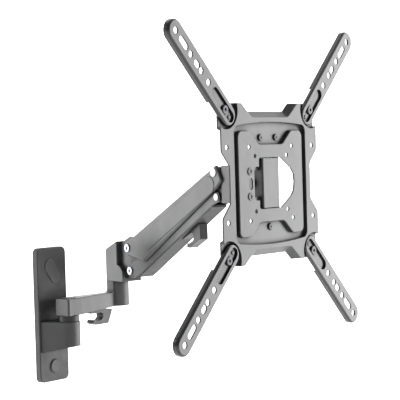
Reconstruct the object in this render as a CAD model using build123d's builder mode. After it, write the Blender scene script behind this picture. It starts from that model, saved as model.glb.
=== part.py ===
"""Full motion television wall mount with a gas spring arm.

Millimetres, +Z up. The origin is the centre of the wall plate's back face, and +Y runs into the
wall, so the mount stands out towards -Y. It is drawn with its link arm folded to the right, its
gas spring arm reaching out and up, and its display plate facing straight out.
"""

import os
from math import cos, radians, sin

from build123d import *

os.makedirs("parts", exist_ok=True)

# ---- driving dimensions -------------------------------------------------------------------------

# running clearances
fit = 0.05  # a shaft in its bore, on the radius
gap = 0.15  # flat faces that turn on each other

# wall plate and its cover
plate_w, plate_h, plate_t = 56.0, 198.0, 3.0
cover_w, cover_h, cover_depth, cover_wall = 62.0, 204.0, 10.0, 2.2
cover_corner = 9.0
slot_z, slot_angle = 66.0, -57.0  # oblong hole and plug, leaning up to the left
slot_length, slot_r = 26.0, 4.5
round_z, hole_r = -79.0, 4.5

# wall bracket and its vertical axis
axis_out = 41.5  # the wall axis and the elbow axis stand this far from the wall
bracket_top, bracket_low_wall, bracket_low_front = -9.0, -55.5, -46.0
bracket_half, bracket_r = 28.0, 17.0
shaft_r, bush_r = 7.0, 9.5
collar_r = 15.8

# link arm
link_pitch = 114.0
hub_half, hub_h = 14.0, 26.0
bar_half_elbow = 6.5
barrel_r, barrel_low, barrel_top = 17.4, 4.0, 43.5

# gas spring arm, turned away from straight out and raised
arm_turn, arm_lift = 15.0, 27.4
base_reach, arm_length, head_reach = 55.6, 249.4, 47.6
upper_z, pivot_drop = 96.5, 35.2
tongue_half, lower_half, shell_half = 10.0, 13.0, 17.0
lower_inner, shell_inner = 10.3, 13.4
slot_half = 5.5
spring_pin_x, spring_pin_y = 220.0, -7.0  # the gas spring's pin in the upper shell
pivot_r = 4.0

# display head
head_r, neck_half, head_up, head_down = 15.0, 13.0, 9.4, 8.5
fork_half, lug_r = 15.4, 15.4
plate_reach = 47.0  # swivel axis to the plate's front
tilt_reach = 25.0  # swivel axis to tilt axis
fork_back, fork_front = 16.0, 21.5  # the fork's upright, from the swivel axis
knuckle_r, ear_r = 9.0, 12.0
ear_t, ear_gap = 2.5, 1.0

# display plate
panel_t, groove_depth, pocket_depth = 2.0, 5.5, 5.0
outer_half_w, waist_half_w, outer_half_h, rim_bend = 112.0, 94.5, 109.0, 89.4
groove_half_w, groove_half_h, groove_bow = 84.0, 79.5, 4.0
raised_half_w, raised_half_h = 75.5, 71.5
notch_top, notch_low, notch_level = 49.0, 28.0, 53.0
arm_pivot = 100.0
pocket_r = 26.0
stop_run = 14.1  # the stop pin sits this far inward of the arm's pivot

# the four television arms
tv_pitch = 200.0  # half of the widest hole square
tv_half, tv_flange, tv_t = 15.0, 8.5, 2.0
tv_tail = 10.0  # pivot to the centre of the inner end

# ---- planes and points --------------------------------------------------------------------------

elbow_x = link_pitch
forward = (-sin(radians(arm_turn)), -cos(radians(arm_turn)), 0)
base_plane = Plane(origin=(elbow_x, -axis_out, 0), x_dir=forward, z_dir=(0, 0, 1))
arm_run = arm_length * cos(radians(arm_lift))
arm_rise = arm_length * sin(radians(arm_lift))
head_x = base_reach + arm_run  # head pivots, along the arm from the elbow axis
swivel_x = head_x + head_reach
swivel_at = (elbow_x + forward[0] * swivel_x, -axis_out + forward[1] * swivel_x)
head_z = upper_z + arm_rise
centre_z = head_z - pivot_drop / 2 + 1.9
plate_front = swivel_at[1] - plate_reach


def side_plane(x, z, lift=0.0):
    """A plane across the arm at x along it and height z: local x runs along the arm, local y is
    up, and local z points to the arm's right side. A lift turns it up about that side."""
    out = base_plane.from_local_coords((x, 0, z))
    along = Vector(*forward) * cos(radians(lift)) + Vector(0, 0, sin(radians(lift)))
    across = Vector(*forward).cross(Vector(0, 0, 1))
    return Plane(origin=out, x_dir=along, z_dir=across)


side = side_plane(0, 0)
upper_plane = side_plane(base_reach, upper_z, arm_lift)
lower_plane = side_plane(base_reach, upper_z - pivot_drop, arm_lift)
front = Plane(origin=(swivel_at[0], plate_front, centre_z), x_dir=(1, 0, 0), z_dir=(0, -1, 0))


def behind(depth):
    """The display plate's front plane, moved back by a depth."""
    return front.offset(-depth)


def level(z):
    """A level plane with its centre on the wall axis."""
    return Plane(origin=(0, -axis_out, z))


def base_level(z):
    """A level plane on the elbow axis, turned along the arm."""
    return base_plane.offset(z)


def swivel_level(z):
    """A level plane on the swivel axis, square to the display plate."""
    return Plane(origin=(*swivel_at, z))


def save(body, name):
    """Label one finished piece and write it."""
    body.part.label = name
    export_step(body.part, f"parts/{name}.step")


# ---- wall plate, cover and bracket --------------------------------------------------------------

with BuildPart() as wall_plate:
    with BuildSketch(Plane.XZ):
        RectangleRounded(plate_w, plate_h, 6)
        with Locations(Location((0, slot_z), slot_angle)):
            SlotOverall(slot_length, 2 * slot_r, mode=Mode.SUBTRACT)
        with Locations((0, round_z)):
            Circle(hole_r, mode=Mode.SUBTRACT)
        with Locations((-18, -20), (18, -20), (-18, -46), (18, -46)):
            Circle(2.7, mode=Mode.SUBTRACT)
    extrude(amount=plate_t)
save(wall_plate, "wall_plate")

bracket_mid = (bracket_top + bracket_low_wall) / 2
bracket_height = bracket_top - bracket_low_wall

with BuildPart() as wall_cover:
    with BuildSketch(Plane.XZ):
        RectangleRounded(cover_w, cover_h, cover_corner)
    extrude(amount=cover_depth)
    fillet(wall_cover.edges().group_by(Axis.Y)[0], 1.6)
    with BuildSketch(Plane.XZ):
        RectangleRounded(cover_w - 2 * cover_wall, cover_h - 2 * cover_wall, cover_corner - cover_wall)
    extrude(amount=cover_depth - cover_wall, mode=Mode.SUBTRACT)
    with BuildSketch(Plane.XZ):
        with Locations((0, bracket_mid)):
            Rectangle(2 * bracket_half + 0.8, bracket_height + 0.8)
        with Locations(Location((0, slot_z), slot_angle)):
            SlotOverall(36, 18)
        with Locations((0, round_z)):
            Circle(8.5)
    extrude(amount=cover_depth, mode=Mode.SUBTRACT)
    with BuildSketch(Plane.XZ.offset(plate_t)):
        with Locations(*[(x, z) for x in (-22, 22) for z in (-92, 92)]):
            Circle(3)
    extrude(amount=cover_depth - cover_wall - plate_t)
save(wall_cover, "wall_cover")

with BuildPart() as oblong_plug:
    with BuildSketch(Plane.XZ.offset(cover_depth - 5)):
        with Locations(Location((0, slot_z), slot_angle)):
            SlotOverall(35.8, 17.8)
    extrude(amount=5)
    with BuildSketch(Plane.XZ.offset(cover_depth)):
        with Locations(Location((0, slot_z), slot_angle)):
            SlotOverall(40, 22)
    extrude(amount=1.2)
    fillet(oblong_plug.edges().group_by(Axis.Y)[0], 0.9)
save(oblong_plug, "oblong_plug")

with BuildPart() as round_plug:
    with BuildSketch(Plane.XZ.offset(cover_depth - 5)):
        with Locations((0, round_z)):
            Circle(8.4)
    extrude(amount=5)
    with BuildSketch(Plane.XZ.offset(cover_depth)):
        with Locations((0, round_z)):
            Circle(10.5)
    extrude(amount=2.2)
    fillet(round_plug.edges().group_by(Axis.Y)[0], 1.8)
save(round_plug, "round_plug")

with BuildPart() as wall_bracket:
    with BuildSketch(level(bracket_low_wall)):
        Circle(bracket_r)
        with Locations((0, axis_out - (plate_t + cover_depth) / 2)):
            Rectangle(2 * bracket_half, cover_depth - plate_t)
        make_hull()
    extrude(amount=bracket_height)
    with BuildSketch(Plane.YZ):
        Polygon(
            (-cover_depth, bracket_low_wall),
            (-axis_out - bracket_r, bracket_low_front),
            (-axis_out - bracket_r, bracket_low_wall - 5),
            (-cover_depth, bracket_low_wall - 5),
            align=None,
        )
    extrude(amount=bracket_half + 1, both=True, mode=Mode.SUBTRACT)
    fillet(wall_bracket.edges().group_by(Axis.Z)[-1], 0.8)
    with BuildSketch(level(bracket_low_front + 4)):
        Circle(shaft_r + fit)
    extrude(amount=40, mode=Mode.SUBTRACT)
    with BuildSketch(Plane.XZ.offset(plate_t)):
        with Locations((-18, -20), (18, -20), (-18, -46), (18, -46)):
            Circle(2.3)
    extrude(amount=7, mode=Mode.SUBTRACT)
save(wall_bracket, "wall_bracket")

with BuildPart() as bracket_screws:
    with BuildSketch(Plane.XZ.offset(0.2)):
        with Locations((-18, -20), (18, -20), (-18, -46), (18, -46)):
            Circle(2.2)
    extrude(amount=9)
save(bracket_screws, "bracket_screws")

shaft_foot = bracket_low_front + 4
shaft_top = hub_h - 5

with BuildPart() as wall_shaft:
    with BuildSketch(level(shaft_foot)):
        Circle(shaft_r)
    extrude(amount=shaft_top - shaft_foot)
    chamfer(wall_shaft.edges().group_by(Axis.Z)[0], 0.8)
    with BuildSketch(level(shaft_top - 14)):
        Circle(2.5 + fit)
    extrude(amount=14, mode=Mode.SUBTRACT)
save(wall_shaft, "wall_shaft")

with BuildPart() as wall_collar:
    with BuildSketch(level(bracket_top)):
        Circle(collar_r)
        Circle(shaft_r + fit, mode=Mode.SUBTRACT)
    extrude(amount=-bracket_top - gap)
    fillet(wall_collar.edges().filter_by(GeomType.CIRCLE).group_by(SortBy.RADIUS)[-1], 0.6)
    with BuildSketch(level((bracket_top - 1) / 2)):
        Circle(collar_r)
        Circle(collar_r - 0.7, mode=Mode.SUBTRACT)
    extrude(amount=1, mode=Mode.SUBTRACT)
save(wall_collar, "wall_collar")


def capped_bush(plane, length):
    """A plastic bush that lines a bore, with a running fit on the shaft."""
    with BuildPart() as bush:
        with BuildSketch(plane):
            Circle(bush_r)
            Circle(shaft_r + fit, mode=Mode.SUBTRACT)
        extrude(amount=length)
    return bush


def shaft_screw(plane, head_r, head_h, shank):
    """A socket screw in a shaft's end, its head on the plane and its shank behind it."""
    with BuildPart() as screw:
        with BuildSketch(plane):
            Circle(head_r)
        extrude(amount=head_h)
        with BuildSketch(plane):
            Circle(2.5)
        extrude(amount=-shank)
        with BuildSketch(plane.offset(head_h - 1.6)):
            RegularPolygon(2.3, 6)
        extrude(amount=2, mode=Mode.SUBTRACT)
    return screw


hub_recess = 12.5

wall_bush = capped_bush(level(0.3), shaft_top - 0.6)
save(wall_bush, "wall_bush")

with BuildPart() as wall_washer:
    with BuildSketch(level(shaft_top)):
        Circle(hub_recess - 0.5)
        Circle(2.5 + fit, mode=Mode.SUBTRACT)
    extrude(amount=1.2)
save(wall_washer, "wall_washer")

wall_shaft_screw = shaft_screw(level(shaft_top + 1.2), 4.5, 1.8, 12)
save(wall_shaft_screw, "wall_shaft_screw")

# ---- link arm -----------------------------------------------------------------------------------

bar_end = link_pitch - barrel_r + 3

with BuildPart() as link_arm:
    with BuildSketch(level(0)):
        Polygon(
            (-hub_half, -hub_half),
            (hub_half, -hub_half),
            (bar_end, -bar_half_elbow),
            (bar_end, bar_half_elbow),
            (hub_half, hub_half),
            (-hub_half, hub_half),
            align=None,
        )
    extrude(amount=barrel_top)
    fillet(link_arm.edges().filter_by(Axis.Z).group_by(Axis.X)[0], 2.5)
    with BuildSketch(Plane.XZ.offset(axis_out)):
        with BuildLine():
            Line((-hub_half, 0), (hub_half, 0))
            Line((hub_half, 0), (bar_end, barrel_low))
            Line((bar_end, barrel_low), (bar_end, barrel_top))
            Line((bar_end, barrel_top), (bar_end - 3, barrel_top))
            Line((bar_end - 3, barrel_top), (bar_end - 3, hub_h + 7))
            RadiusArc((bar_end - 3, hub_h + 7), (bar_end - 10, hub_h), 7)
            Line((bar_end - 10, hub_h), (-hub_half, hub_h))
            Line((-hub_half, hub_h), (-hub_half, 0))
        make_face()
    extrude(amount=hub_half + 1, both=True, mode=Mode.INTERSECT)
    fillet(link_arm.edges().filter_by(Axis.X).group_by(Axis.Z)[-1], 1.0)
    with BuildSketch(level(barrel_low)):
        with Locations((link_pitch, 0)):
            Circle(barrel_r)
    extrude(amount=barrel_top - barrel_low)
    with BuildSketch(level(0)):
        Circle(bush_r + fit)
    extrude(amount=hub_h, mode=Mode.SUBTRACT)
    with BuildSketch(level(shaft_top)):
        Circle(hub_recess)
    extrude(amount=hub_h, mode=Mode.SUBTRACT)
    with BuildSketch(level(barrel_low)):
        with Locations((link_pitch, 0)):
            Circle(bush_r + fit)
    extrude(amount=barrel_top, mode=Mode.SUBTRACT)
    with BuildSketch(level(barrel_low)):
        with Locations((link_pitch, 0)):
            Circle(hub_recess)
    extrude(amount=5, mode=Mode.SUBTRACT)
    fillet(link_arm.edges().filter_by(GeomType.CIRCLE).filter_by(
        lambda e: e.radius > barrel_r - 0.1 and e.arc_center.X > link_pitch - 1), 0.8)
save(link_arm, "link_arm")

with BuildPart() as hub_cap:
    with BuildSketch(level(hub_h - 1.5)):
        Circle(hub_recess - 0.1)
    extrude(amount=2.1)
    fillet(hub_cap.edges().group_by(Axis.Z)[-1], 0.8)
save(hub_cap, "hub_cap")

elbow = Plane(origin=(elbow_x, -axis_out, 0))
elbow_bush = capped_bush(elbow.offset(barrel_low + 5), barrel_top - barrel_low - 5)
save(elbow_bush, "elbow_bush")


def cable_clip(plane, half_width):
    """A hook that hangs under an arm and opens backwards: a strap along the arm, a sloping back
    and a jaw with a turned-up lip."""
    with BuildPart() as clip:
        with BuildSketch(plane):
            with BuildLine():
                Polyline(
                    (-26, 0),
                    (23, 0),
                    (13, -21),
                    (-16, -21),
                    (-22, -17),
                    (-19, -13),
                    (-11, -15),
                    (-4, -15),
                    (1, -11),
                    (1, -6),
                    (-3, -3),
                    (-26, -3),
                    close=True,
                )
            make_face()
        extrude(amount=half_width, both=True)
        fillet(clip.edges().filter_by(lambda e: e.geom_type == GeomType.LINE and e.length > half_width
                                      and abs(e.tangent_at(0.5).dot(plane.z_dir)) > 0.99), 1.0)
    return clip


hook = cable_clip(Plane(origin=(69, -axis_out, 0.6), x_dir=(1, 0, 0), z_dir=(0, -1, 0)), 7)
with BuildPart() as link_clip:
    add(hook.part)
    with BuildSketch(Plane.XZ.offset(axis_out)):
        Polygon(
            (hub_half, 0),
            (bar_end, barrel_low),
            (bar_end, barrel_low + 10),
            (hub_half, 10),
            align=None,
        )
    extrude(amount=20, both=True, mode=Mode.SUBTRACT)
save(link_clip, "link_clip")

# ---- arm base -----------------------------------------------------------------------------------

body_end = 26.0
base_low = barrel_top + gap
lower_z = upper_z - pivot_drop
dome_r, foot_r = 17.0, 11.0
slope_back, slope_front = 87.5, 106.5

with BuildPart() as arm_base:
    with BuildSketch(base_level(base_low)):
        Circle(barrel_r)
        with Locations((body_end / 2 + 7, 0)):
            Rectangle(body_end + 14, 2 * barrel_r)
    extrude(amount=slope_front - base_low)
    with BuildSketch(side):
        Polygon(
            (-barrel_r - 1, slope_back),
            (body_end, slope_front),
            (body_end, slope_front + 20),
            (-barrel_r - 1, slope_front + 20),
            align=None,
        )
    extrude(amount=barrel_r + 1, both=True, mode=Mode.SUBTRACT)
    with BuildSketch(side):
        with BuildLine():
            Line((body_end, slope_front + 1), (body_end, lower_z + 8))
            RadiusArc((body_end, lower_z + 8), (body_end + 16, base_low), 21)
            Line((body_end + 16, base_low), (body_end + 30, base_low))
            Line((body_end + 30, base_low), (body_end + 30, slope_front + 1))
            Line((body_end + 30, slope_front + 1), (body_end, slope_front + 1))
        make_face()
    extrude(amount=barrel_r + 1, both=True, mode=Mode.SUBTRACT)
    fillet(arm_base.edges().filter_by(lambda e: e.center().Z > slope_back - 3), 1.5)
    with BuildSketch(side):
        with Locations((base_reach, upper_z)):
            Circle(dome_r)
        with Locations((base_reach, lower_z)):
            Circle(foot_r)
        with Locations((body_end - 3, (base_low + slope_front) / 2 - 2)):
            Rectangle(10, slope_front - base_low - 12)
        make_hull()
    extrude(amount=tongue_half, both=True)
    with BuildSketch(side):
        with Locations((base_reach + 10, upper_z - 8)):
            Rectangle(48, 90)
    extrude(amount=slot_half, both=True, mode=Mode.SUBTRACT)
    with BuildSketch(side):
        with Locations((base_reach, upper_z), (base_reach, lower_z)):
            Circle(pivot_r + fit)
        with Locations((base_reach + 3, upper_z - 20)):
            Circle(3 + fit)
    extrude(amount=barrel_r + 2, both=True, mode=Mode.SUBTRACT)
    with BuildSketch(base_level(base_low)):
        Circle(shaft_r + fit)
    extrude(amount=24, mode=Mode.SUBTRACT)
save(arm_base, "arm_base")

elbow_foot = barrel_low + 5 - gap

with BuildPart() as elbow_shaft:
    with BuildSketch(elbow.offset(elbow_foot)):
        Circle(shaft_r)
    extrude(amount=base_low + 24 - elbow_foot)
    with BuildSketch(elbow.offset(elbow_foot)):
        Circle(2.5 + fit)
    extrude(amount=13, mode=Mode.SUBTRACT)
save(elbow_shaft, "elbow_shaft")

with BuildPart() as elbow_washer:
    with BuildSketch(elbow.offset(elbow_foot)):
        Circle(hub_recess - 0.5)
        Circle(2.5 + fit, mode=Mode.SUBTRACT)
    extrude(amount=-1.2)
save(elbow_washer, "elbow_washer")

elbow_screw = shaft_screw(Plane(origin=(elbow_x, -axis_out, elbow_foot - 1.2), z_dir=(0, 0, -1)),
                          4.5, 1.8, 12)
save(elbow_screw, "elbow_screw")

# ---- gas spring arm -----------------------------------------------------------------------------

shell_top_left, shell_top_right = 9.4, 7.6
shell_low_left, shell_low_right = -37.0, -22.5
shell_end = arm_length + 10
web_from, web_to = 21.0, arm_length - 20


with BuildPart() as upper_shell:
    # a round nose at the base, straight edges drawing in towards the head, and a square end
    with BuildSketch(upper_plane):
        with BuildLine():
            FilletPolyline(
                (-9, shell_top_left),
                (shell_end, shell_top_right),
                (shell_end + 1, shell_low_right + 4),
                (shell_end - 16, shell_low_right),
                (29, shell_low_left),
                (-9, -8.5),
                radius=5,
                close=True,
            )
        make_face()
    extrude(amount=shell_half, both=True)
    long_edges = upper_shell.edges().filter_by(
        lambda e: e.length > 150 and abs(e.tangent_at(0.5).dot(upper_plane.x_dir)) > 0.99)
    fillet(long_edges, 3.4)
    with BuildSketch(upper_plane):
        with Locations(((web_from + web_to) / 2, -24)):
            Rectangle(web_to - web_from, 2 * (24 + shell_top_left - 3.6))
        with Locations((0, 0)):
            Rectangle(2 * web_from + 0.2, 100)
        with Locations((shell_end, 0)):
            Rectangle(2 * (shell_end - web_to) + 0.2, 100)
    extrude(amount=shell_inner, both=True, mode=Mode.SUBTRACT)
    with BuildSketch(upper_plane):
        with Locations((0, 0), (arm_length, 0), (spring_pin_x, spring_pin_y)):
            Circle(pivot_r + fit)
    extrude(amount=shell_half + 2, both=True, mode=Mode.SUBTRACT)
    with BuildSketch(upper_plane.offset(shell_half), upper_plane.offset(-shell_half - 0.6)):
        with Locations(Location((140, -12.3), 1.0)):
            SlotOverall(206, 25)
    extrude(amount=0.6)
save(upper_shell, "upper_shell")

lower_low_left, lower_low_right = -16.5, -6.0
lower_from, lower_to = 15.0, arm_length - 14

with BuildPart() as lower_arm:
    with BuildSketch(lower_plane):
        Circle(8)
        with Locations((arm_length, 0)):
            Circle(7.5)
        with BuildLine():
            Polyline(
                (0, 8),
                (arm_length, 7.5),
                (arm_length + 3, -6.5),
                (lower_to, lower_low_right),
                (lower_from, lower_low_left),
                (-5, -6),
                close=True,
            )
        make_face()
    extrude(amount=lower_half, both=True)
    with BuildSketch(lower_plane):
        Polygon(
            (-20, 40),
            (-20, -40),
            (lower_from + 8, -40),
            (lower_from + 8, lower_low_left + 3),
            (lower_to - 22, lower_low_right + 2.5),
            (lower_to - 22, -40),
            (arm_length + 20, -40),
            (arm_length + 20, 40),
            align=None,
        )
    extrude(amount=lower_inner, both=True, mode=Mode.SUBTRACT)
    with BuildSketch(lower_plane):
        with Locations((0, 0), (arm_length, 0)):
            Circle(pivot_r + fit)
    extrude(amount=lower_half + 2, both=True, mode=Mode.SUBTRACT)
save(lower_arm, "lower_arm")

with BuildPart() as under_cover:
    with BuildSketch(lower_plane):
        Polygon(
            (lower_from + 0.5, lower_low_left - 0.02),
            (lower_to, lower_low_right - 0.02),
            (lower_to - 2, lower_low_right - 2.4),
            (lower_from + 3, lower_low_left - 2.4),
            align=None,
        )
    extrude(amount=lower_half - 0.4, both=True)
save(under_cover, "under_cover")

clip_x = 165.0
clip_drop = (lower_low_left + (lower_low_right - lower_low_left) * (clip_x - lower_from)
             / (lower_to - lower_from))
clip_plane = Plane(origin=lower_plane.from_local_coords((clip_x, clip_drop - 1.9, 0)),
                   x_dir=lower_plane.x_dir, z_dir=lower_plane.z_dir)
hook = cable_clip(clip_plane, 7)
with BuildPart() as arm_clip:
    add(hook.part)
    with BuildSketch(lower_plane):
        Polygon(
            (lower_from, lower_low_left - 2.45),
            (lower_to, lower_low_right - 2.45),
            (lower_to, 10),
            (lower_from, 10),
            align=None,
        )
    extrude(amount=20, both=True, mode=Mode.SUBTRACT)
save(arm_clip, "arm_clip")

# gas spring: the cylinder is pinned near the head end, the rod reaches the anchor in the base
anchor = Vector(3 * cos(radians(arm_lift)) - 20 * sin(radians(arm_lift)),
                -3 * sin(radians(arm_lift)) - 20 * cos(radians(arm_lift)))
spring_end = Vector(spring_pin_x, spring_pin_y)
spring_dir = (anchor - spring_end).normalized()
spring_plane = Plane(
    origin=upper_plane.from_local_coords((spring_pin_x, spring_pin_y, 0)),
    x_dir=upper_plane.z_dir,
    z_dir=upper_plane.x_dir * spring_dir.X + upper_plane.y_dir * spring_dir.Y,
)
spring_length = (anchor - spring_end).length
cylinder_r, rod_r = 8.5, 4.0
cylinder_from, cylinder_to = 14.0, 162.0

with BuildPart() as gas_cylinder:
    with BuildSketch(spring_plane.offset(cylinder_from)):
        Circle(cylinder_r)
    extrude(amount=cylinder_to - cylinder_from)
    fillet(gas_cylinder.edges(), 1.5)
    with BuildSketch(spring_plane.offset(cylinder_from + 12)):
        Circle(rod_r + fit)
    extrude(amount=cylinder_to, mode=Mode.SUBTRACT)
save(gas_cylinder, "gas_cylinder")

eye_plane = Plane(origin=spring_plane.origin, x_dir=spring_plane.z_dir, z_dir=spring_plane.x_dir)

with BuildPart() as cylinder_eye:
    with BuildSketch(eye_plane):
        Circle(7)
        with Locations((cylinder_from / 2, 0)):
            Rectangle(cylinder_from, 9)
        Circle(pivot_r + fit, mode=Mode.SUBTRACT)
    extrude(amount=5, both=True)
save(cylinder_eye, "cylinder_eye")

open_eye_r = 6.2

with BuildPart() as gas_rod:
    with BuildSketch(spring_plane.offset(58)):
        Circle(rod_r)
    extrude(amount=spring_length - 58 - open_eye_r - 1)
save(gas_rod, "gas_rod")

with BuildPart() as rod_eye:
    with BuildSketch(eye_plane):
        with Locations((spring_length, 0)):
            Circle(open_eye_r + 2.5)
        with Locations((spring_length - open_eye_r - 6, 0)):
            Rectangle(12, 9)
        with Locations((spring_length, 0)):
            Circle(open_eye_r, mode=Mode.SUBTRACT)
    extrude(amount=5, both=True)
    with BuildSketch(spring_plane.offset(spring_length - 30)):
        Circle(rod_r)
    extrude(amount=30 - open_eye_r - 1, mode=Mode.SUBTRACT)
save(rod_eye, "rod_eye")

with BuildPart() as spring_anchor_pin:
    with BuildSketch(side):
        with Locations((base_reach + 3, upper_z - 20)):
            Circle(3)
    extrude(amount=tongue_half - 0.2, both=True)
save(spring_anchor_pin, "spring_anchor_pin")

with BuildPart() as spring_pin:
    with BuildSketch(upper_plane):
        with Locations((spring_pin_x, spring_pin_y)):
            Circle(pivot_r)
    extrude(amount=shell_half - 0.2, both=True)
save(spring_pin, "spring_pin")


def pivot_bolt(plane, half, head_radius, head, socket):
    """A pivot bolt through both cheeks: shank, a low head at each side and a hexagon socket."""
    with BuildPart() as bolt:
        with BuildSketch(plane):
            Circle(pivot_r)
        extrude(amount=half, both=True)
        for turn in (1, -1):
            face = Plane(origin=plane.origin + plane.z_dir * (turn * half),
                         x_dir=plane.x_dir, z_dir=plane.z_dir * turn)
            with BuildSketch(face):
                Circle(head_radius)
            extrude(amount=head)
            if socket:
                with BuildSketch(face.offset(head)):
                    RegularPolygon(2.9, 6)
                extrude(amount=-1.5, mode=Mode.SUBTRACT)
    return bolt


head_upper = side_plane(head_x, head_z)
head_lower = side_plane(head_x, head_z - pivot_drop)
base_upper = side_plane(base_reach, upper_z)
base_lower = side_plane(base_reach, lower_z)

upper_bolt = pivot_bolt(base_upper, shell_half, 6.0, 1.8, True)
save(upper_bolt, "upper_pivot_bolt")
lower_bolt = pivot_bolt(base_lower, lower_half, 6.0, 1.8, True)
save(lower_bolt, "lower_pivot_bolt")
upper_pin = pivot_bolt(head_upper, shell_half, 6.2, 1.2, False)
save(upper_pin, "head_pin_upper")
lower_pin = pivot_bolt(head_lower, lower_half, 5.0, 1.2, False)
save(lower_pin, "head_pin_lower")


def spacers(plane):
    """Two plastic friction washers between a tongue and the upper shell's cheeks."""
    with BuildPart() as pair:
        with BuildSketch(plane.offset(tongue_half + 0.05), plane.offset(-shell_inner + 0.05)):
            Circle(7.5)
            Circle(pivot_r + fit, mode=Mode.SUBTRACT)
        extrude(amount=shell_inner - tongue_half - 0.1)
    return pair


base_washers = spacers(base_upper)
save(base_washers, "base_washers")
head_washers = spacers(head_upper)
save(head_washers, "head_washers")

# ---- head block and tilting fork ----------------------------------------------------------------

head_top, head_bottom = head_z + head_up, head_z - pivot_drop - head_down
neck_from = head_x + 13

with BuildPart() as head_block:
    with BuildSketch(base_level(head_bottom)):
        with Locations((swivel_x, 0)):
            Circle(head_r)
        with Locations(((neck_from + swivel_x) / 2, 0)):
            Rectangle(swivel_x - neck_from, 2 * neck_half)
    extrude(amount=head_top - head_bottom)
    with BuildSketch(side):
        with Locations((head_x, head_z), (head_x, head_z - pivot_drop)):
            Circle(7.5)
        with Locations((neck_from + 2, head_z - pivot_drop / 2)):
            Rectangle(8, pivot_drop + 15)
        make_hull()
    extrude(amount=tongue_half, both=True)
    with BuildSketch(side):
        with Locations((head_x, head_z), (head_x, head_z - pivot_drop)):
            Circle(pivot_r + fit)
    extrude(amount=head_r, both=True, mode=Mode.SUBTRACT)
    with BuildSketch(swivel_level(head_bottom)):
        Circle(bush_r + fit)
    extrude(amount=head_top - head_bottom, mode=Mode.SUBTRACT)
save(head_block, "head_block")

swivel_bush = capped_bush(swivel_level(head_bottom + 0.2), head_top - head_bottom - 0.4)
save(swivel_bush, "swivel_bush")

fork_bottom, fork_top = head_bottom - gap - 6, head_top + gap + 6
tilt_at = swivel_at[1] - tilt_reach
tilt_axis = Plane(origin=(swivel_at[0], tilt_at, centre_z), x_dir=(0, 1, 0), z_dir=(1, 0, 0))

with BuildPart() as tilt_fork:
    # an upright across the head, two lugs over and under it, and a knuckle for the tilt bolt
    with BuildSketch(swivel_level(fork_bottom)):
        with Locations((0, -(fork_back + fork_front) / 2)):
            Rectangle(2 * fork_half, fork_front - fork_back)
    extrude(amount=fork_top - fork_bottom)
    with BuildSketch(swivel_level(fork_bottom), swivel_level(head_top + gap)):
        Circle(lug_r)
        with Locations((0, -fork_back / 2)):
            Rectangle(2 * lug_r, fork_back)
    extrude(amount=6)
    with BuildSketch(tilt_axis):
        Circle(knuckle_r)
        with Locations((knuckle_r / 2, 0)):
            Rectangle(knuckle_r, 2 * knuckle_r)
    extrude(amount=fork_half, both=True)
    with BuildSketch(swivel_level(head_bottom - gap)):
        Circle(head_r + 0.35)
    extrude(amount=head_top - head_bottom + 2 * gap, mode=Mode.SUBTRACT)
    with BuildSketch(swivel_level(fork_bottom)):
        Circle(shaft_r + fit)
    extrude(amount=fork_top - fork_bottom, mode=Mode.SUBTRACT)
    with BuildSketch(tilt_axis):
        Circle(4 + fit)
    extrude(amount=fork_half + 4, both=True, mode=Mode.SUBTRACT)
save(tilt_fork, "tilt_fork")

with BuildPart() as swivel_pin:
    with BuildSketch(swivel_level(fork_bottom)):
        Circle(shaft_r)
    extrude(amount=fork_top - fork_bottom)
    with BuildSketch(swivel_level(fork_top)):
        Circle(11)
    extrude(amount=3)
    fillet(swivel_pin.edges().group_by(Axis.Z)[-1], 1)
    with BuildSketch(swivel_level(fork_bottom)):
        Circle(2.5 + fit)
    extrude(amount=13, mode=Mode.SUBTRACT)
    with BuildSketch(swivel_level(fork_top + 1)):
        RegularPolygon(4, 6)
    extrude(amount=3, mode=Mode.SUBTRACT)
save(swivel_pin, "swivel_pin")

with BuildPart() as swivel_washer:
    with BuildSketch(swivel_level(fork_bottom)):
        Circle(11)
        Circle(2.5 + fit, mode=Mode.SUBTRACT)
    extrude(amount=-1.5)
save(swivel_washer, "swivel_washer")

swivel_screw = shaft_screw(Plane(origin=(*swivel_at, fork_bottom - 1.5), z_dir=(0, 0, -1)), 4.5, 2.5, 12)
save(swivel_screw, "swivel_screw")

# ---- tilting frame ------------------------------------------------------------------------------

frame_depth = groove_depth + panel_t
frame_t = 2.5
frame_half = 28.0
web_depth, web_half_h = 1.0, 34.0  # the channel's web lies just behind the plate's front
ear_inner = fork_half + ear_gap
ear_outer = ear_inner + ear_t
screw_places = [(-18, 62.4), (18, 62.4), (0, -60.0)]
rivet_places = [(-50, 17), (-50, -17)]

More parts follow.
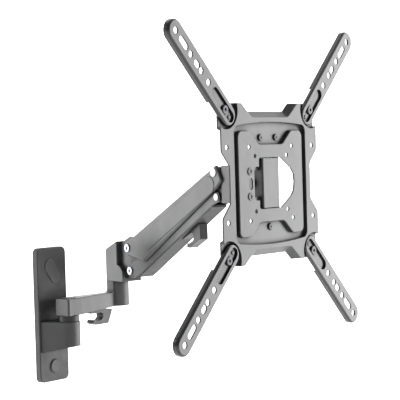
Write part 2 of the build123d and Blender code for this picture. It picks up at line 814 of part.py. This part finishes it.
with BuildPart() as tilt_frame:
    # a back plate with a tab at the left; a channel that fills the plate's window stands on it,
    # and its two sides run back as ears that carry the tilt bolt
    with BuildSketch(behind(frame_depth)):
        with Locations((0, 1)):
            Rectangle(2 * frame_half, 138)
        with Locations((-44, 0)):
            Rectangle(34, 52)
    extrude(amount=-frame_t)
    fillet(tilt_frame.edges().filter_by(Axis.Y), 4)
    with BuildSketch(behind(frame_depth)):
        Rectangle(2 * ear_outer, 2 * web_half_h)
        with Locations((-24, 0)):
            Rectangle(12, 36)
    extrude(amount=-frame_t, mode=Mode.SUBTRACT)
    with BuildSketch(behind(web_depth)):
        Rectangle(2 * ear_outer, 2 * web_half_h)
    extrude(amount=-ear_t)
    with BuildSketch(tilt_axis.offset(ear_inner), tilt_axis.offset(-ear_outer)):
        Circle(ear_r)
        with Locations((web_depth + 5 - (plate_reach - tilt_reach), 0)):
            Rectangle(10, 2 * web_half_h)
        make_hull()
    extrude(amount=ear_t)
    bends = tilt_frame.edges().filter_by(Axis.Z).filter_by(
        lambda e: abs(e.center().Y - plate_front - web_depth) < 0.01)
    fillet(bends, 2.0)
    with BuildSketch(tilt_axis):
        Circle(4 + fit)
    extrude(amount=ear_outer + 1, both=True, mode=Mode.SUBTRACT)
    with BuildSketch(behind(frame_depth)):
        with Locations(*screw_places):
            Circle(2.6)
        with Locations(*rivet_places):
            Circle(3.05)
    extrude(amount=-frame_t, mode=Mode.SUBTRACT)
save(tilt_frame, "tilt_frame")

with BuildPart() as tilt_bolt:
    with BuildSketch(tilt_axis.offset(-ear_outer - 1.5)):
        Circle(4)
    extrude(amount=2 * ear_outer + 11)
    with BuildSketch(tilt_axis.offset(-ear_outer - 1.5)):
        Circle(7)
    extrude(amount=-4)
    with BuildSketch(tilt_axis.offset(-ear_outer - 5.5)):
        RegularPolygon(3.4, 6)
    extrude(amount=2.5, mode=Mode.SUBTRACT)
save(tilt_bolt, "tilt_bolt")

with BuildPart() as tilt_washers:
    with BuildSketch(tilt_axis.offset(-ear_outer - 1.5), tilt_axis.offset(ear_outer)):
        Circle(8.5)
        Circle(4 + fit, mode=Mode.SUBTRACT)
    extrude(amount=1.5)
    with BuildSketch(tilt_axis.offset(-ear_inner + 0.05), tilt_axis.offset(fork_half + 0.05)):
        Circle(9)
        Circle(4 + fit, mode=Mode.SUBTRACT)
    extrude(amount=ear_gap - 0.1)
save(tilt_washers, "tilt_washers")

with BuildPart() as tilt_nut:
    with BuildSketch(tilt_axis.offset(ear_outer + 1.5)):
        RegularPolygon(7.5, 6)
        Circle(4 + fit, mode=Mode.SUBTRACT)
    extrude(amount=6.5)
save(tilt_nut, "tilt_nut")

# ---- display plate ------------------------------------------------------------------------------

corners = [(x, z) for x in (-1, 1) for z in (-1, 1)]
rim_half = 43.0
ear_in = 67.0
rim_drop = 8.5


def mirrored_loop(quarter):
    """A closed loop of points from one quarter's points, mirrored about both centre lines."""
    loop = quarter + [(-x, z) for x, z in reversed(quarter)]
    return loop + [(-x, -z) for x, z in quarter] + [(x, -z) for x, z in reversed(quarter)]


def filled(points, radius):
    """A flat face from a closed loop of points, its corners rounded."""
    with BuildSketch(Plane.XY) as shape:
        with BuildLine():
            FilletPolyline(*points, radius=radius, close=True)
        make_face()
    return shape.sketch


# waisted sides, level top and bottom between four ears, cut corners
plate_outline = filled(mirrored_loop([
    (waist_half_w, 25),
    (outer_half_w, 44),
    (outer_half_w, 94),
    (outer_half_w - 15, outer_half_h),
    (ear_in, outer_half_h),
    (rim_half, rim_bend),
]), 8)
# raised centre panel with a tapering notch at the top and at the bottom
raised_corners = [
    (raised_half_w, raised_half_h),
    (notch_top, raised_half_h),
    (notch_low, notch_level),
]
raised_panel = filled(mirrored_loop(raised_corners), 9)
raised_panel_walls = filled(mirrored_loop([
    (raised_half_w - panel_t, raised_half_h - panel_t),
    (notch_top + 1, raised_half_h - panel_t),
    (notch_low + 1, notch_level - panel_t),
]), 8)


def groove_outline(spread):
    """Outer edge of the sunk band: straight sides, a slightly bowed top and bottom."""
    w, h, r = groove_half_w + spread, groove_half_h + spread, 10.0
    with BuildSketch(Plane.XY) as band:
        with BuildLine():
            for turn in (1, -1):
                ThreePointArc((-w + r, turn * h), (0, turn * (h + groove_bow)), (w - r, turn * h))
                Line((turn * w, h - r), (turn * w, r - h))
            for x, z in corners:
                arc_mid = (x * (w - r * (1 - 0.5**0.5)), z * (h - r * (1 - 0.5**0.5)))
                ThreePointArc((x * (w - r), z * h), arc_mid, (x * w, z * (h - r)))
        make_face()
    return band.sketch


groove = groove_outline(0) - raised_panel
groove_walls = groove_outline(panel_t) - raised_panel_walls
arm_pivots = [(x * arm_pivot, z * arm_pivot) for x, z in corners]
vesa_holes = [(x * s, z * s) for s in (37.5, 50.0) for x, z in corners]
wide_holes = [(x * 100.0, z * 50.0) for x, z in corners]
window = filled([
    (-28.8, 35),
    (22, 35),
    (46, 20),
    (53, 12),
    (55, 0),
    (53, -12),
    (46, -20),
    (22, -35),
    (-28.8, -35),
], 4)

# the sloping rim along the top and bottom follows the outline from ear to ear
with BuildPart() as rim_solid:
    with BuildSketch(front):
        add(plate_outline)
    extrude(amount=-rim_drop, taper=-45)
with BuildPart() as rim_zone:
    with BuildSketch(behind(rim_drop)):
        for turn in (1, -1):
            with Locations((0, turn * (outer_half_h - 12))):
                Rectangle(2 * ear_in - 2, 24)
    extrude(amount=rim_drop)
rim = rim_solid.part - Pos(0, panel_t * 2**0.5, 0) * rim_solid.part
rim = rim & rim_zone.part

with BuildPart() as display_plate:
    with BuildSketch(front):
        add(plate_outline)
    extrude(amount=-panel_t)
    add(rim)
    with BuildSketch(front):
        add(groove_walls)
        add(plate_outline, mode=Mode.INTERSECT)
    extrude(amount=-panel_t - groove_depth)
    with BuildSketch(front):
        with Locations(*arm_pivots):
            Circle(pocket_r + panel_t)
        add(plate_outline, mode=Mode.INTERSECT)
    extrude(amount=-panel_t - pocket_depth)
    with BuildSketch(front):
        add(groove)
    extrude(amount=-groove_depth, mode=Mode.SUBTRACT)
    groove_lips = display_plate.edges().filter_by(
        lambda e: abs(e.center().Y - plate_front) < 0.01
        and abs(front.to_local_coords(e.center()).X) < raised_half_w + 1
        and abs(front.to_local_coords(e.center()).Y) < raised_half_h + 1)
    fillet(groove_lips, 1.4)
    with BuildSketch(front):
        with Locations(*arm_pivots):
            Circle(pocket_r)
    extrude(amount=-pocket_depth, mode=Mode.SUBTRACT)
    with BuildSketch(front):
        add(window)
        with Locations((-33, 0)):
            RectangleRounded(14, 46, 6)
        with Locations((-48, 0)):
            SlotOverall(16, 8, rotation=90)
        with Locations(*rivet_places):
            Circle(3.1)
        with Locations(*vesa_holes):
            Circle(3.0)
        with Locations(*wide_holes):
            Circle(3.5)
        with Locations(*screw_places):
            Circle(2.7)
        with Locations(*arm_pivots):
            Circle(3.2)
    extrude(amount=-30, mode=Mode.SUBTRACT)
    for (x, z), start in zip(corners, (0, 270, 90, 180)):
        with BuildSketch(front):
            with BuildLine(mode=Mode.PRIVATE) as stop_track:
                CenterArc((x * arm_pivot, z * arm_pivot), stop_run, start, 90)
            SlotArc(stop_track.wire(), 6)
        extrude(amount=-30, mode=Mode.SUBTRACT)
save(display_plate, "display_plate")

with BuildPart() as plate_screws:
    for x, z in screw_places:
        with BuildSketch(behind(groove_depth)):
            with Locations((x, z)):
                Circle(4.6)
        extrude(amount=2.4)
        with BuildSketch(behind(groove_depth)):
            with Locations((x, z)):
                Circle(2.5)
        extrude(amount=-panel_t - frame_t - 5)
    fillet(plate_screws.edges().group_by(Axis.Y)[0], 1.0)
    with BuildSketch(behind(groove_depth - 2.4)):
        with Locations(*screw_places):
            Rectangle(4.6, 1.1)
            Rectangle(1.1, 4.6)
    extrude(amount=-1.3, mode=Mode.SUBTRACT)
save(plate_screws, "plate_screws")

with BuildPart() as plate_nuts:
    with BuildSketch(behind(frame_depth + frame_t)):
        with Locations(*screw_places):
            RegularPolygon(4.6, 6)
            Circle(2.55, mode=Mode.SUBTRACT)
    extrude(amount=-4)
save(plate_nuts, "plate_nuts")

with BuildPart() as plate_rivets:
    # two rivets with a spacing collar between the display plate and the frame's tab
    with BuildSketch(behind(0)):
        with Locations(*rivet_places):
            Circle(5)
    extrude(amount=1.1)
    with BuildSketch(behind(0)):
        with Locations(*rivet_places):
            Circle(3.05)
    extrude(amount=-frame_depth - frame_t - 0.2)
    with BuildSketch(behind(panel_t)):
        with Locations(*rivet_places):
            Circle(4.8)
    extrude(amount=panel_t - frame_depth)
    with BuildSketch(behind(frame_depth + frame_t)):
        with Locations(*rivet_places):
            Circle(4.8)
    extrude(amount=-1.2)
    with BuildSketch(behind(-1.1)):
        with Locations(*rivet_places):
            Circle(2.6)
    extrude(amount=-0.8, mode=Mode.SUBTRACT)
save(plate_rivets, "plate_rivets")

# ---- television arms ----------------------------------------------------------------------------

diagonal = 2**0.5
tip_run = (tv_pitch - arm_pivot) * diagonal  # pivot to the outermost hole
tv_holes = [50.0, (150 - arm_pivot) * diagonal, 100.0, tip_run]
tv_slots = [(82.6, 12.5), (119.6, 22.0)]  # place and overall length
tv_hole_r = 4.5
bed_mid, bed_length, bed_width = 8.5, 59.4, 15.0
bed_depth = pocket_depth - tv_t - 0.1


names = {(-1, 1): "upper_left", (1, 1): "upper_right", (-1, -1): "lower_left", (1, -1): "lower_right"}
arm_planes = {
    place: Plane(
        origin=front.from_local_coords((x * arm_pivot, z * arm_pivot, 0)),
        x_dir=(x / diagonal, 0, z / diagonal),
        z_dir=(0, -1, 0),
    )
    for (x, z), place in names.items()
}

for place, local in arm_planes.items():
    # a shallow channel with round ends, a sunk bed for the pivot screw and a row of round holes
    # and slots; the flange is low where it lies over the display plate
    mid = (tip_run - tv_tail) / 2
    with BuildPart() as tv_arm:
        with BuildSketch(local):
            with Locations((mid, 0)):
                SlotCenterToCenter(tip_run + tv_tail, 2 * tv_half)
        extrude(amount=-tv_flange)
        fillet(tv_arm.edges().group_by(Axis.Y)[0], 3.4)
        with BuildSketch(local.offset(-tv_t)):
            with Locations((mid, 0)):
                SlotCenterToCenter(tip_run + tv_tail, 2 * (tv_half - tv_t))
        extrude(amount=-tv_flange, mode=Mode.SUBTRACT)
        with BuildSketch(local.offset(-pocket_depth + 0.1)):
            Circle(pocket_r + 6)
        extrude(amount=-tv_flange, mode=Mode.SUBTRACT)
        with BuildSketch(local.offset(-tv_t)):
            with Locations((bed_mid, 0)):
                SlotOverall(bed_length + 2 * tv_t, bed_width + 2 * tv_t)
        extrude(amount=-bed_depth)
        with BuildSketch(local):
            with Locations((bed_mid, 0)):
                SlotOverall(bed_length, bed_width)
        extrude(amount=-bed_depth, mode=Mode.SUBTRACT)
        with BuildSketch(local):
            with Locations(*[(run, 0) for run in tv_holes]):
                Circle(tv_hole_r)
            for run, length in tv_slots:
                with Locations((run, 0)):
                    SlotOverall(length, 2 * tv_hole_r)
            Circle(3 + fit)
            with Locations((-stop_run, 0)):
                Circle(2.5)
        extrude(amount=-tv_flange, mode=Mode.SUBTRACT)
    save(tv_arm, f"tv_arm_{place}")
    with BuildPart() as stop_pin:
        with BuildSketch(local.offset(-bed_depth + 1.2)):
            with Locations((-stop_run, 0)):
                Circle(2.5)
        extrude(amount=-pocket_depth - panel_t)
    save(stop_pin, f"stop_pin_{place}")

with BuildPart() as arm_pivot_screws:
    for local in arm_planes.values():
        with BuildSketch(local.offset(-bed_depth)):
            Circle(6.4)
        extrude(amount=2.8)
    fillet(arm_pivot_screws.edges().group_by(Axis.Y)[0], 1.4)
    for local in arm_planes.values():
        with BuildSketch(local.offset(-bed_depth)):
            Circle(3)
        extrude(amount=-12)
        with BuildSketch(local.offset(2.8 - bed_depth)):
            RegularPolygon(2.4, 6)
        extrude(amount=-1.6, mode=Mode.SUBTRACT)
save(arm_pivot_screws, "arm_pivot_screws")

with BuildPart() as arm_pivot_nuts:
    for local in arm_planes.values():
        with BuildSketch(local.offset(-pocket_depth - panel_t)):
            RegularPolygon(5.8, 6)
            Circle(3 + fit, mode=Mode.SUBTRACT)
        extrude(amount=-5)
save(arm_pivot_nuts, "arm_pivot_nuts")
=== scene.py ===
from math import cos, radians, sin

import bpy
from mathutils import Matrix, Vector


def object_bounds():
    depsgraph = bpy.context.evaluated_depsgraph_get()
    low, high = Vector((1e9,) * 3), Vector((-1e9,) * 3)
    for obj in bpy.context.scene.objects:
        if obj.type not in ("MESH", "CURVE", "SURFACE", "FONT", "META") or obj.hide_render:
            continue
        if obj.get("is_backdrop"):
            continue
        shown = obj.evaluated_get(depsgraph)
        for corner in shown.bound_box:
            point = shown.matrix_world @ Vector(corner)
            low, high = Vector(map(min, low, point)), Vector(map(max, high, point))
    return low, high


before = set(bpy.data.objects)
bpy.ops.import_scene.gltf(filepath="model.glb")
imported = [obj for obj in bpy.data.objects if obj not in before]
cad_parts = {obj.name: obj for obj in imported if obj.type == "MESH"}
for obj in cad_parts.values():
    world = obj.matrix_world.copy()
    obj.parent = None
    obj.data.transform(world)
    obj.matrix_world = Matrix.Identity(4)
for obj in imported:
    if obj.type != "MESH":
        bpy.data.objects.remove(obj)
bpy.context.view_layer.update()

# Lengths are in metres, powers in watts and angles in degrees.
edge_radius = 0.0011  # how far a painted edge is rounded in the shading
painted_shade_reach = 0.009  # painted shade: how near a wall has to be for the paint's gloss to be turned down
painted_shade_gloss = 0.03  # painted shade: what is left of the gloss at the bottom of a recess
plastic_gloss = 0.42
set_half, backdrop_height = 14.0, 9.0
floor_drop, backdrop_gap = 0.35, 2.6  # below the object, and behind it
floor_glow, backdrop_glow, sky_glow = 0.85, 1.05, 0.32
lens_mm, sensor_mm = 135, 36
view_turn_deg, view_rise_deg, view_roll_deg = -51.9125, 1.96325, -1.65827
camera_place = (-1.65013, -1.59296, 0.24525)


# ---- material helpers ---------------------------------------------------------------------------

def new_material(name):
    """A material with an empty tree but for its shader and output."""
    material = bpy.data.materials.new(name)
    material.use_nodes = True
    tree = material.node_tree
    shader = tree.nodes["Principled BSDF"]
    return material, tree, shader


def noise(tree, scale, detail=3.0, stretch=(1, 1, 1), distortion=0.0):
    """Noise in the piece's own coordinates, in metres, stretched along its axes."""
    place = tree.nodes.new("ShaderNodeTexCoord")
    mapping = tree.nodes.new("ShaderNodeMapping")
    mapping.inputs["Scale"].default_value = stretch
    texture = tree.nodes.new("ShaderNodeTexNoise")
    texture.inputs["Scale"].default_value = scale
    texture.inputs["Detail"].default_value = detail
    texture.inputs["Distortion"].default_value = distortion
    tree.links.new(place.outputs["Object"], mapping.inputs["Vector"])
    tree.links.new(mapping.outputs["Vector"], texture.inputs["Vector"])
    return texture


def ramp(tree, source, dark, light, start=0.3, end=0.7):
    """A colour ramp from dark to light over part of a texture's range."""
    node = tree.nodes.new("ShaderNodeValToRGB")
    node.color_ramp.elements[0].position = start
    node.color_ramp.elements[1].position = end
    node.color_ramp.elements[0].color = (*dark, 1)
    node.color_ramp.elements[1].color = (*light, 1)
    tree.links.new(source, node.inputs["Fac"])
    return node


def spread(tree, source, low, high):
    """A texture's range mapped to a range of plain values."""
    node = tree.nodes.new("ShaderNodeMapRange")
    node.inputs["From Min"].default_value = 0.3
    node.inputs["From Max"].default_value = 0.7
    node.inputs["To Min"].default_value = low
    node.inputs["To Max"].default_value = high
    tree.links.new(source, node.inputs["Value"])
    return node


def bump(tree, source, depth, strength, under=None):
    """A bump whose depth is in metres, over an earlier bump if there is one."""
    node = tree.nodes.new("ShaderNodeBump")
    node.inputs["Strength"].default_value = strength
    node.inputs["Distance"].default_value = depth
    tree.links.new(source, node.inputs["Height"])
    if under:
        tree.links.new(under.outputs["Normal"], node.inputs["Normal"])
    return node


def shade(value, tint=(1, 1, 1)):
    """A grey of one brightness, slightly tinted."""
    return tuple(value * part for part in tint)


def painted(name, grey, rough, peel, grain, tint=(0.98, 1.0, 1.03), spec=0.5):
    """Black paint: faint clouds, orange peel, a fine grain, rounded edges and painted shade in recesses
    (gloss turned down by ambient occlusion).
    """
    material, tree, shader = new_material(name)
    clouds = noise(tree, 14, 4)
    colour = ramp(tree, clouds.outputs["Fac"], shade(grey * 0.8, tint), shade(grey * 1.2, tint))
    tree.links.new(colour.outputs["Color"], shader.inputs["Base Color"])
    smears = noise(tree, 45, 5, (1, 1, 0.4), 0.6)
    roughness = spread(tree, smears.outputs["Fac"], rough - 0.04, rough + 0.05)
    tree.links.new(roughness.outputs["Result"], shader.inputs["Roughness"])
    coarse = noise(tree, 420, 2)
    fine = noise(tree, 2600, 2)
    edge = tree.nodes.new("ShaderNodeBevel")
    edge.samples = 4
    edge.inputs["Radius"].default_value = edge_radius
    first = bump(tree, coarse.outputs["Fac"], peel, 0.5, edge)
    second = bump(tree, fine.outputs["Fac"], grain, 0.6, first)
    tree.links.new(second.outputs["Normal"], shader.inputs["Normal"])
    # Painted shade: ambient occlusion turns the gloss down near walls, so corners, grooves and recesses read
    # darker.
    painted_shade = tree.nodes.new("ShaderNodeAmbientOcclusion")
    painted_shade.samples = 8
    painted_shade.inputs["Distance"].default_value = painted_shade_reach
    shaded_gloss = tree.nodes.new("ShaderNodeMapRange")
    shaded_gloss.inputs["From Min"].default_value = 0.45
    shaded_gloss.inputs["From Max"].default_value = 0.95
    shaded_gloss.inputs["To Min"].default_value = painted_shade_gloss
    shaded_gloss.inputs["To Max"].default_value = spec
    tree.links.new(painted_shade.outputs["AO"], shaded_gloss.inputs["Value"])
    tree.links.new(shaded_gloss.outputs["Result"], shader.inputs["Specular IOR Level"])
    return material


def moulded(name, grey, rough, grain, tint=(1, 1, 1)):
    """Moulded plastic with a spark-eroded grain."""
    material, tree, shader = new_material(name)
    clouds = noise(tree, 22, 3)
    colour = ramp(tree, clouds.outputs["Fac"], shade(grey * 0.85, tint), shade(grey * 1.15, tint))
    tree.links.new(colour.outputs["Color"], shader.inputs["Base Color"])
    wear = noise(tree, 60, 4)
    roughness = spread(tree, wear.outputs["Fac"], rough - 0.05, rough + 0.06)
    tree.links.new(roughness.outputs["Result"], shader.inputs["Roughness"])
    place = tree.nodes.new("ShaderNodeTexCoord")
    cells = tree.nodes.new("ShaderNodeTexVoronoi")
    cells.inputs["Scale"].default_value = 1500
    tree.links.new(place.outputs["Object"], cells.inputs["Vector"])
    skin = bump(tree, cells.outputs["Distance"], grain, 0.7)
    tree.links.new(skin.outputs["Normal"], shader.inputs["Normal"])
    shader.inputs["Specular IOR Level"].default_value = plastic_gloss
    return material


def metal(name, low, high, rough, stretch, scratch):
    """Bare metal with tool marks drawn out along one direction."""
    material, tree, shader = new_material(name)
    marks = noise(tree, 900, 4, stretch)
    colour = ramp(tree, marks.outputs["Fac"], low, high)
    tree.links.new(colour.outputs["Color"], shader.inputs["Base Color"])
    roughness = spread(tree, marks.outputs["Fac"], rough - 0.06, rough + 0.08)
    tree.links.new(roughness.outputs["Result"], shader.inputs["Roughness"])
    skin = bump(tree, marks.outputs["Fac"], scratch, 0.5)
    tree.links.new(skin.outputs["Normal"], shader.inputs["Normal"])
    shader.inputs["Metallic"].default_value = 1.0
    return material


plate_paint = painted("plate paint", 0.024, 0.32, 0.00004, 0.000012)
arm_paint = painted("television arm paint", 0.010, 0.24, 0.00003, 0.00001)
cast_paint = painted("casting paint", 0.026, 0.38, 0.00005, 0.00003)
shell_paint = painted("shell paint", 0.034, 0.34, 0.00003, 0.00002)
bracket_paint = painted("bracket paint", 0.022, 0.44, 0.00005, 0.00003)
cover_skin = moulded("cover plastic", 0.020, 0.52, 0.00004)
plug_skin = moulded("plug plastic", 0.030, 0.50, 0.00003)
clip_skin = moulded("clip plastic", 0.008, 0.40, 0.00002)
under_skin = moulded("underside plastic", 0.018, 0.55, 0.00003)
bush_skin = moulded("bush plastic", 0.55, 0.45, 0.00001, (1, 0.99, 0.94))
dark_screw = metal("black screw", (0.03, 0.03, 0.032), (0.07, 0.07, 0.075), 0.30, (1, 1, 6), 0.00001)
bright_screw = metal("bright screw", (0.24, 0.26, 0.30), (0.44, 0.46, 0.50), 0.28, (1, 1, 5), 0.00001)
pin_face = metal("pin cap", (0.24, 0.24, 0.235), (0.38, 0.38, 0.37), 0.42, (1, 6, 1), 0.00001)
turned_steel = metal("turned steel", (0.34, 0.34, 0.35), (0.55, 0.55, 0.56), 0.30, (1, 1, 8), 0.00001)

finishes = {
    plate_paint: ["display_plate", "tilt_frame", "tilt_fork", "wall_plate"],
    arm_paint: ["tv_arm_upper_left", "tv_arm_upper_right", "tv_arm_lower_left", "tv_arm_lower_right"],
    cast_paint: ["link_arm", "arm_base", "lower_arm", "head_block", "spring_anchor_pin"],
    shell_paint: ["upper_shell"],
    bracket_paint: ["wall_bracket"],
    cover_skin: ["wall_cover"],
    plug_skin: ["oblong_plug", "round_plug", "hub_cap"],
    clip_skin: ["link_clip", "arm_clip", "wall_collar"],
    under_skin: ["under_cover"],
    bush_skin: ["wall_bush", "elbow_bush", "swivel_bush", "base_washers", "head_washers"],
    dark_screw: [
        "bracket_screws", "plate_screws", "plate_nuts", "plate_rivets", "arm_pivot_screws", "arm_pivot_nuts",
        "tilt_bolt", "tilt_nut", "tilt_washers", "swivel_screw", "swivel_washer", "gas_cylinder",
        "stop_pin_upper_left", "stop_pin_upper_right", "stop_pin_lower_left", "stop_pin_lower_right",
    ],
    bright_screw: ["upper_pivot_bolt", "lower_pivot_bolt"],
    pin_face: ["head_pin_upper", "head_pin_lower"],
    turned_steel: [
        "wall_shaft", "wall_shaft_screw", "wall_washer", "elbow_shaft", "elbow_washer", "elbow_screw",
        "swivel_pin", "gas_rod", "rod_eye", "cylinder_eye", "spring_pin",
    ],
}
for material, names in finishes.items():
    for name in names:
        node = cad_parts[name]
        node.data.materials.clear()
        node.data.materials.append(material)

# ---- stage --------------------------------------------------------------------------------------

low, high = (Vector(corner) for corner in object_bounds())
middle = (low + high) / 2
view_turn, view_rise, view_roll = map(radians, (view_turn_deg, view_rise_deg, view_roll_deg))
back = Vector((sin(view_turn) * cos(view_rise), -cos(view_turn) * cos(view_rise), sin(view_rise)))
level = Vector((cos(view_turn), sin(view_turn), 0))
upright = back.cross(level)
right = level * cos(view_roll) + upright * sin(view_roll)
up = upright * cos(view_roll) - level * sin(view_roll)


def flat_mesh(name, corners, material):
    """One flat four-cornered piece of the set."""
    mesh = bpy.data.meshes.new(name)
    mesh.from_pydata([tuple(corner) for corner in corners], [], [(0, 1, 2, 3)])
    mesh.materials.append(material)
    piece = bpy.data.objects.new(name, mesh)
    bpy.context.scene.collection.objects.link(piece)
    piece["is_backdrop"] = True
    return piece


def pale(name, grey, glow):
    """Pale matte paper that can glow evenly."""
    material, tree, shader = new_material(name)
    fibres = noise(tree, 3, 2)
    colour = ramp(tree, fibres.outputs["Fac"], shade(grey * 0.995), shade(grey))
    tree.links.new(colour.outputs["Color"], shader.inputs["Base Color"])
    shader.inputs["Roughness"].default_value = 0.9
    shader.inputs["Emission Color"].default_value = (1, 1, 1, 1)
    shader.inputs["Emission Strength"].default_value = glow
    return material


floor_z = low.z - floor_drop
flat_mesh("floor", [
    (-set_half, -set_half, floor_z),
    (set_half, -set_half, floor_z),
    (set_half, set_half, floor_z),
    (-set_half, set_half, floor_z),
], pale("floor paper", 0.9, floor_glow))
away = Vector((-back.x, -back.y, 0)).normalized()
across = Vector((level.x, level.y, 0)).normalized()
paper_at = Vector((middle.x, middle.y, floor_z)) + away * backdrop_gap
flat_mesh("backdrop", [
    paper_at - across * set_half,
    paper_at + across * set_half,
    paper_at + across * set_half + Vector((0, 0, backdrop_height)),
    paper_at - across * set_half + Vector((0, 0, backdrop_height)),
], pale("backdrop paper", 0.9, backdrop_glow))


def softbox(name, direction, height, distance, width, tall, power):
    """A large area light that looks at the middle of the object."""
    data = bpy.data.lights.new(name, "AREA")
    data.shape = "RECTANGLE"
    data.size = width
    data.size_y = tall
    data.energy = power
    lamp = bpy.data.objects.new(name, data)
    side = Vector((direction[0], direction[1], 0)).normalized() * distance
    lamp.location = middle + side + Vector((0, 0, height))
    lamp.rotation_euler = (middle - lamp.location).to_track_quat("-Z", "Y").to_euler()
    bpy.context.scene.collection.objects.link(lamp)


softbox("front right softbox", (0.80, -0.60), 0.15, 1.6, 1.3, 1.9, 38)
softbox("back left softbox", (-0.50, 0.86), 0.15, 1.6, 1.2, 1.9, 28)
softbox("top softbox", (-0.2, -0.3), 1.7, 0.2, 1.2, 1.2, 7)

world = bpy.data.worlds.new("studio")
world.use_nodes = True
world.node_tree.nodes["Background"].inputs["Color"].default_value = (1, 1, 1, 1)
world.node_tree.nodes["Background"].inputs["Strength"].default_value = sky_glow
bpy.context.scene.world = world
bpy.context.scene.view_settings.view_transform = "Standard"

camera_data = bpy.data.cameras.new("camera")
camera_data.sensor_width = sensor_mm
camera_data.lens = lens_mm
camera_data.clip_end = 50
camera = bpy.data.objects.new("camera", camera_data)
camera.matrix_world = Matrix((
    (right.x, up.x, back.x, camera_place[0]),
    (right.y, up.y, back.y, camera_place[1]),
    (right.z, up.z, back.z, camera_place[2]),
    (0, 0, 0, 1),
))
bpy.context.scene.collection.objects.link(camera)
bpy.context.scene.camera = camera
